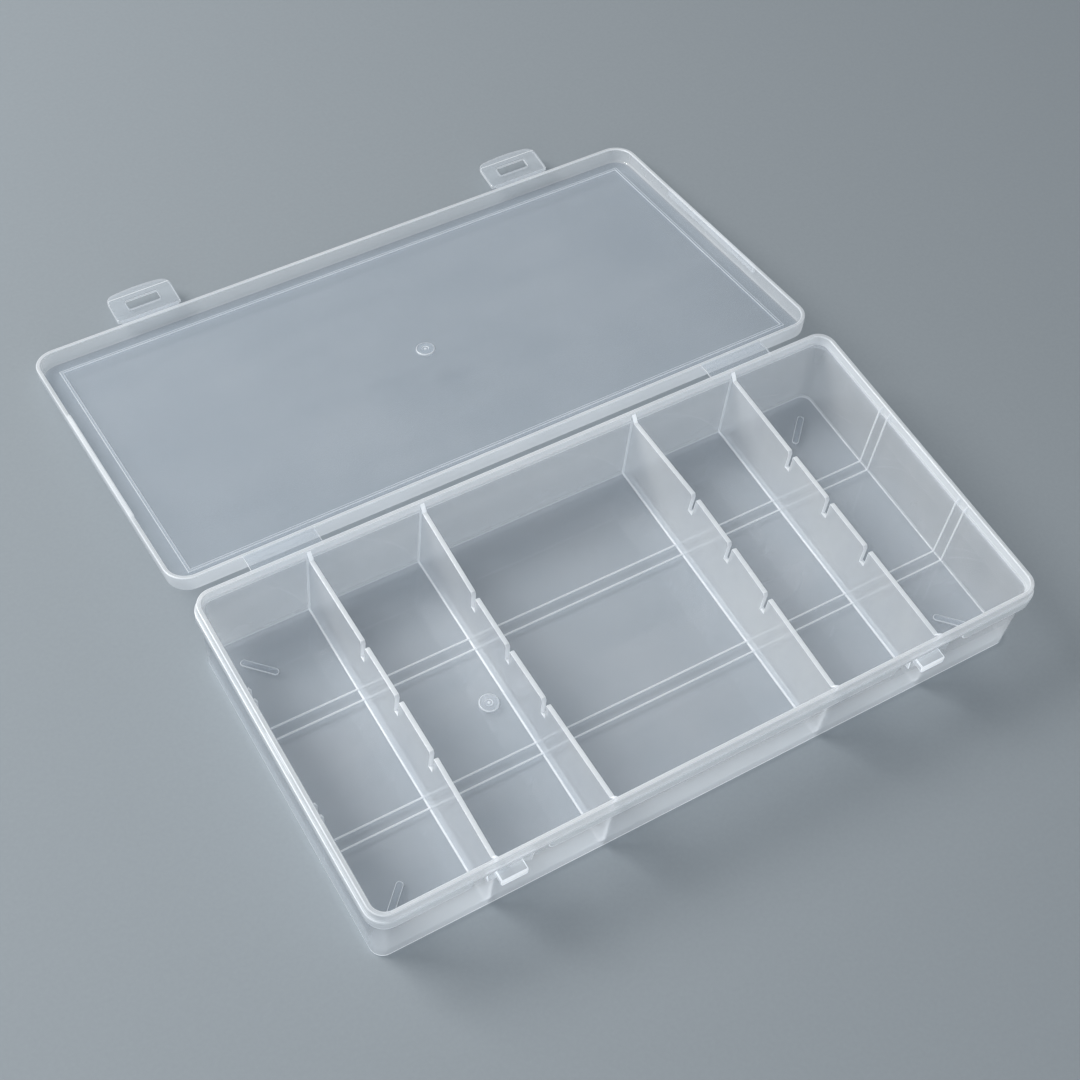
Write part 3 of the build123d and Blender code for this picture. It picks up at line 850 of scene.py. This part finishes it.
def make_gate_bosses():
    centre = middle_mm("gate_boss_tray")
    place = Matrix.Translation((centre.x, centre.y, FLOOR_T))
    make_piece("gate_boss_tray_moulding", gate_boss_mesh(), TRAY_BOSS_FINISHES,
               "tray_body", ["gate_boss_tray"], place)
    place = LID_CENTRE @ Matrix.Translation((0, 0, -LID_SKIRT_H))
    make_piece("gate_boss_lid_moulding", gate_boss_mesh(), LID_BOSS_FINISHES,
               "lid", ["gate_boss_lid"], place)


def bead_loops(side, low_z, high_z):
    """Half-round slices along a bead, fading at both ends."""
    half_h = (high_z - low_z) / 2
    middle_z = (high_z + low_z) / 2
    face_x = FLANGE_X - FLANGE_OUT
    loops = []
    for i in range(BEAD_SLICES + 1):
        share = -cos(pi * i / BEAD_SLICES)
        size = max(sqrt(1 - abs(share) ** 6), 0.08)
        loop = []
        for k in range(9):
            angle = radians(-90 + 180 * k / 8)
            out = face_x - 0.05 + (BEAD_PROUD + 0.05) * size * cos(angle)
            loop.append(Vector((side * out, share * BEAD_L / 2, middle_z + half_h * size * sin(angle))))
        loops.append(loop)
    return loops


def make_snap_beads():
    """Low rounded bead on each end face of the lip."""
    for side, name in ((-1, "snap_bead_left"), (1, "snap_bead_right")):
        low, high = box_mm(name)
        bm = bmesh.new()
        rows = loft(bm, bead_loops(side, low.z, high.z), [EDGE] * BEAD_SLICES)
        cap(bm, rows[0], EDGE)
        cap(bm, rows[-1], EDGE)
        make_piece(name + "_moulding", bm, BEAD_FINISHES, "tray_body", [name])


def catch_hook(bm, x):
    """Hook block with a bevelled top; its outer face and rounded edges take the bright-line finish, a
    painted glow.
    """
    outline = [(-CATCH_OUT, CATCH_LOW), (-CATCH_BACK, CATCH_LOW), (-CATCH_BACK, CATCH_TOP)]
    outline += [(-CATCH_OUT + CATCH_BEVEL, CATCH_TOP), (-CATCH_OUT, CATCH_TOP - CATCH_BEVEL)]
    plate(bm, outline, 2 * CATCH_HALF_W, 0.4, in_yz(x), face=RIM, edge=RIM, round_finish=GLOW_LINE)
    for face in bm.faces:
        if face.calc_center_median().y < -CATCH_OUT + CATCH_BEVEL:
            face.material_index = GLOW_LINE


def catch_pad(bm, x):
    """Backing pad with sloping ends, between the hook and the wall."""
    top = LEDGE_Z - FLANGE_T + 0.05
    out = CAVITY_Y + WALL_T + CATCH_PAD_T
    foot = CATCH_PAD_HALF - CATCH_PAD_SLOPE
    outline = [(x - foot, CATCH_LOW), (x + foot, CATCH_LOW)]
    outline += [(x + CATCH_PAD_HALF, top), (x - CATCH_PAD_HALF, top)]
    middle_y = -(out + CATCH_BACK) / 2
    # the pad's rounded edges take the bright-line finish, a painted glow
    plate(bm, outline, out - CATCH_BACK, 0.2, in_xz(middle_y), face=WALL, edge=RIM, round_finish=GLOW_LINE)


def make_catches():
    for x, name in zip(LATCHES_X, ("catch_left", "catch_right")):
        bm = bmesh.new()
        catch_hook(bm, x)
        catch_pad(bm, x)
        make_piece(name + "_moulding", bm, CATCH_FINISHES, "tray_body", [name])


# ---- lid ----
def lid_section():
    """Lid section in lid axes from the middle of the plate, over the rim and back under it."""
    plate_in = -LID_SKIRT_H
    plate_out = plate_in - LID_PLATE_T
    foot = -LID_DRAFT - LID_FILLET
    base = LID_WALL_T - LID_DRAFT - LID_EDGE_R
    rim_in = arc(LID_RIM_ROUND, -LID_RIM_ROUND, LID_RIM_ROUND, 180, 90, 3)
    rim_out = arc(LID_WALL_T - LID_RIM_ROUND, -LID_RIM_ROUND, LID_RIM_ROUND, 90, 0, 3)
    turn = arc(base, plate_out + LID_EDGE_R, LID_EDGE_R, 0, -90, 6)
    section = [(foot - 0.6, plate_in, SHEET)]
    section += arc_strip(arc(foot, plate_in + LID_FILLET, LID_FILLET, -90, 0), WALL)
    section.append((-0.02, -LID_RIM_ROUND, EDGE))
    section += arc_strip(rim_in, EDGE, RIM)
    section += arc_strip(rim_out, EDGE, RIM)
    # the outer part of the rounded bottom edge takes the milky rim finish, with its faint painted glow, to
    # read as a bright outline
    section += arc_strip(turn[:4], RIM) + [(*turn[4], WALL)] + arc_strip(turn[5:], SHEET)
    section.append((base - 0.6, plate_out, SHEET))
    return section


def snap_bar(bm, side):
    """Slightly thicker length on the inside of an end skirt, over which the lip's bead snaps."""
    inner = LID_IN_X - SNAP_BAR_PROUD
    outer = LID_IN_X + SNAP_BAR_IN_WALL
    outline = [(-SNAP_BAR_HALF, SNAP_BAR_LOW), (SNAP_BAR_HALF, SNAP_BAR_LOW)]
    outline += [(SNAP_BAR_HALF, SNAP_BAR_HIGH), (-SNAP_BAR_HALF, SNAP_BAR_HIGH)]
    plate(bm, outline, outer - inner, 0.12, in_yz(side * (inner + outer) / 2), face=WALL, edge=RIM)


def make_lid():
    bm = bmesh.new()
    swept_section(bm, perimeter(LID_IN_X, LID_IN_Y, LID_IN_R), lid_section(), SHEET, SHEET)
    for side in (-1, 1):
        snap_bar(bm, side)
    make_piece("lid_moulding", bm, LID_FINISHES, "lid", ["lid_shell"], LID_CENTRE)


def make_seat_rib():
    """Low square-cornered rib round the inside of the lid plate."""
    half_x = LID_IN_X - RIB_FROM_END
    half_y = LID_IN_Y - RIB_FROM_SIDE
    low = -LID_SKIRT_H - SUNK
    top = -LID_SKIRT_H + RIB_H
    section = [(0, low, SHEET), (0, top - 0.1, EDGE), (-0.1, top, EDGE), (-0.25, top, SHEET)]
    section += [(-RIB_W + 0.25, top, EDGE), (-RIB_W + 0.1, top, EDGE), (-RIB_W, top - 0.1, SHEET)]
    section.append((-RIB_W, low, SHEET))
    stations = []
    for sx, sy in ((1, 1), (-1, 1), (-1, -1), (1, -1)):
        stations.append((Vector((sx * half_x, sy * half_y, 0)), Vector((sx, sy, 0))))
    loops = [ring(stations, out, z) for out, z, _ in section]
    bm = bmesh.new()
    loft(bm, loops, [finish for _, _, finish in section], closed=True)
    make_piece("lid_seat_rib_moulding", bm, RIB_FINISHES, "lid",
               ["lid_seat_rib"], LID_CENTRE)


# ---- living hinges ----
def make_hinge_webs():
    """Thin web from the tray flange to the lid rim, thinnest at the fold line, bending only there."""
    top = LEDGE_Z
    low = LEDGE_Z - HINGE_T
    lid_high = -HINGE_UP
    lid_low = -HINGE_UP - HINGE_T
    start = FLANGE_Y - 0.3
    stop = HINGE_SPAN / 2 + 0.25

    def on_lid(out, z):
        point = LID_PLACE @ Vector((0, out, z))
        return (point.y, point.z)

    outline = [(start, low), (HINGE_Y - FOLD_SLOPE_HALF, low), (HINGE_Y - FOLD_HALF, low + FOLD_GROOVE)]
    outline += [on_lid(FOLD_HALF, lid_low + FOLD_GROOVE), on_lid(FOLD_SLOPE_HALF, lid_low)]
    outline += [on_lid(stop, lid_low), on_lid(stop, lid_high), on_lid(FOLD_HALF, lid_high)]
    outline += [(HINGE_Y - FOLD_HALF, top), (start, top)]
    for x, side in zip(HINGES_X, ("left", "right")):
        bm = bmesh.new()
        plate(bm, outline, HINGE_W, 0.08, in_yz(x), face=RIM, edge=SHEET, round_finish=EDGE)
        nodes = [f"hinge_{side}_tray_leaf", f"hinge_{side}_lid_leaf"]
        web = make_piece(f"hinge_{side}_web", bm, WEB_FINISHES, None, nodes)
        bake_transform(web)


# ---- latches ----
def fold_place(x):
    """From latch axes with the fold line on X, level with the lid, to the end of the open lid."""
    fold = (x, HINGE_Y + LID_IN_Y + LID_WALL_T + LATCH_FOLD_OUT, -HINGE_UP - LATCH_FOLD_DOWN)
    return LID_PLACE @ Matrix.Translation(fold)


def raised(y, z):
    """A point of the tab turned up about the fold line to where the open tab rests."""
    return (y * cos(LATCH_REST) - z * sin(LATCH_REST), y * sin(LATCH_REST) + z * cos(LATCH_REST))


def squared_loop(half_w, low, high, radii, bulge=0.0, side_steps=6, corner_steps=5):
    """Loop of (x, y) with its own radius at far and near corners and a bowed far side."""
    far_r, near_r = radii
    corners = [((half_w, high), far_r, 0), ((-half_w, high), far_r, 90)]
    corners += [((-half_w, low), near_r, 180), ((half_w, low), near_r, 270)]
    points = []
    for index, ((x, y), radius, start) in enumerate(corners):
        cx = x - radius if x > 0 else x + radius
        cy = y - radius if y == high else y + radius
        for i in range(corner_steps + 1):
            angle = radians(start + 90 * i / corner_steps)
            points.append(Vector((cx + radius * cos(angle), cy + radius * sin(angle))))
        (next_x, next_y), next_r, _ = corners[(index + 1) % 4]
        nx = next_x - next_r if next_x > 0 else next_x + next_r
        ny = next_y - next_r if next_y == high else next_y + next_r
        begin = points[-1]
        angle = radians(start + 90)
        stop = Vector((nx + next_r * cos(angle), ny + next_r * sin(angle)))
        for i in range(1, side_steps):
            points.append(begin.lerp(stop, i / side_steps))
    middle = (low + high) / 2
    return [Vector((p.x, p.y + (bulge * (1 - (p.x / half_w) ** 2) if p.y > middle else 0))) for p in points]


def crease_loop(tip_inset, z):
    """Straight-edged outline of the flat part of the tab, inside its bowed tip."""
    loop = squared_loop(LATCH_HALF_W - 0.3, LATCH_ROOT + 0.3, LATCH_L - tip_inset, (0.5, 0.4))
    return [Vector((point.x, point.y, z)) for point in loop]


def tab_loop(inset, tip_inset, z, tip_drop=0.0):
    """One level of the tab's outside, drawn in by the insets; tip_drop lowers it towards the tip."""
    half = LATCH_HALF_W - inset
    tip_r = max(LATCH_TIP_R - inset, 0.4)
    loop = squared_loop(half, LATCH_ROOT + inset, LATCH_L - tip_inset, (tip_r, 0.4), LATCH_BULGE)
    points = []
    for point in loop:
        share = min(max((point.y - SLOT_END - 1.0) / (LATCH_L - SLOT_END - 1.0), 0), 1)
        points.append(Vector((point.x, point.y, z - tip_drop * share)))
    return points


def slot_loop(grow, z):
    loop = squared_loop(SLOT_HALF_W + grow, SLOT_START - grow, SLOT_END + grow, (0.5 + grow, 0.5 + grow))
    return [Vector((point.x, point.y, z)) for point in loop]


def make_latch_tabs():
    """Slotted tab with rounded far corners, a bowed tip and a sloping pull edge."""
    top = LATCH_FOLD_DOWN
    low = top - LATCH_T
    for x, side in zip(LATCHES_X, ("left", "right")):
        loops = [slot_loop(0, low + 0.15), slot_loop(0, top - 0.15), slot_loop(0.15, top)]
        loops += [crease_loop(1.75, top), crease_loop(1.45, top - 0.02)]
        loops += [tab_loop(0.12, 0.15, top - 0.05, 0.4), tab_loop(0, 0, top - 0.2, 0.35)]
        loops += [tab_loop(0, 0, low + 0.15), tab_loop(0.15, 0.15, low), slot_loop(0.15, low)]
        bm = bmesh.new()
        finishes = [EDGE, SHEET, SHEET, EDGE, SHEET, RIM, RIM, EDGE, SHEET, SHEET]
        loft(bm, loops, finishes, closed=True)
        name = f"latch_{side}_tab"
        place = fold_place(x) @ Matrix.Rotation(LATCH_REST, 4, "X")
        make_piece(name + "_moulding", bm, TAB_FINISHES, f"latch_{side}", [name], place)


def make_latch_folds():
    """Thin strip from the lid skirt into the tab, thinnest on the fold line, bending only there."""
    skin = 0.2
    into_tab = LATCH_ROOT + 0.1
    outline = [(-LATCH_FOLD_OUT - 0.1, -skin), (-0.15, -skin), (0, -0.1), raised(0.15, -skin)]
    outline += [raised(into_tab, -skin), raised(into_tab, skin), raised(0.15, skin), (0, 0.15)]
    outline += [(-0.15, skin), (-LATCH_FOLD_OUT - 0.1, skin)]
    for x, side in zip(LATCHES_X, ("left", "right")):
        bm = bmesh.new()
        width = 2 * LATCH_HALF_W - 2
        plate(bm, outline, width, 0.06, in_yz(0), face=RIM, edge=SHEET, round_finish=SHEET, steps=1)
        place = fold_place(x)
        strip = make_piece(f"latch_{side}_fold", bm, TAB_FINISHES, None,
                           [f"latch_{side}_root"], place)
        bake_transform(strip)


# ---- table, light and camera ----
TABLE_HALF = 1500
TABLE_CORNER_R = 200
TABLE_T = 20
TABLE_BELOW = 0.2
LENS = 64.12
SENSOR_W = 36
CAMERA_AT = Vector((-0.188029, -0.205700, 0.442746))    # metres, as the lamps
CAMERA_RIGHT = Vector((0.858017, -0.506777, 0.083570))
CAMERA_DOWN = Vector((-0.377650, -0.732745, -0.566096))
CAMERA_AHEAD = Vector((0.348120, 0.454160, -0.820092))


def make_table():
    bm = bmesh.new()
    stations = perimeter(TABLE_HALF, TABLE_HALF, TABLE_CORNER_R, 6)
    section = [(-TABLE_T, 0, SHEET), (0, 0, SHEET), (0, -TABLE_T, SHEET), (-TABLE_T, -TABLE_T, SHEET)]
    swept_section(bm, stations, section, SHEET, SHEET)
    bmesh.ops.recalc_face_normals(bm, faces=bm.faces)
    mesh = bpy.data.meshes.new("table")
    bm.to_mesh(mesh)
    bm.free()
    mesh.transform(Matrix.Translation((0, 0, -TABLE_BELOW * MM)) @ Matrix.Scale(MM, 4))
    mesh.materials.append(table_top())
    table = bpy.data.objects.new("table", mesh)
    bpy.context.scene.collection.objects.link(table)


def aim(direction):
    return Vector(direction).to_track_quat("-Z", "Y")


def soft_lamp(name, power, size, colour, place):
    """Square area lamp aimed at the middle of the open box."""
    lamp = bpy.data.lights.new(name, "AREA")
    lamp.shape = "SQUARE"
    lamp.size = size
    lamp.energy = power
    lamp.color = colour
    seat = bpy.data.objects.new(name, lamp)
    seat.location = place
    seat.rotation_mode = "QUATERNION"
    seat.rotation_quaternion = aim(Vector((0, 0.05, 0)) - seat.location)
    bpy.context.scene.collection.objects.link(seat)


def make_lights():
    world = bpy.data.worlds.new("studio")
    world.use_nodes = True
    sky = world.node_tree.nodes["Background"]
    sky.inputs["Color"].default_value = (0.90, 0.95, 1.0, 1)
    sky.inputs["Strength"].default_value = 0.26
    bpy.context.scene.world = world
    soft_lamp("window", power=13.5, size=0.6, colour=(1.0, 0.99, 0.97), place=(-0.62, 0.62, 0.86))
    soft_lamp("fill", power=3.8, size=1.0, colour=(0.94, 0.97, 1.0), place=(-0.62, -0.62, 0.42))


def make_camera():
    camera = bpy.data.cameras.new("camera")
    camera.sensor_width = SENSOR_W
    camera.lens = LENS
    seat = bpy.data.objects.new("camera", camera)
    turn = Matrix((CAMERA_RIGHT, -CAMERA_DOWN, -CAMERA_AHEAD)).transposed()
    seat.matrix_world = Matrix.Translation(CAMERA_AT) @ turn.to_4x4()
    bpy.context.scene.collection.objects.link(seat)
    bpy.context.scene.camera = seat


make_tray()
make_dividers()
make_ridges()
make_pads()
make_gate_bosses()
make_snap_beads()
make_catches()
make_lid()
make_seat_rib()
make_hinge_webs()
make_latch_tabs()
make_latch_folds()
make_table()
make_lights()
make_camera()
bpy.context.scene.view_settings.view_transform = "Standard"
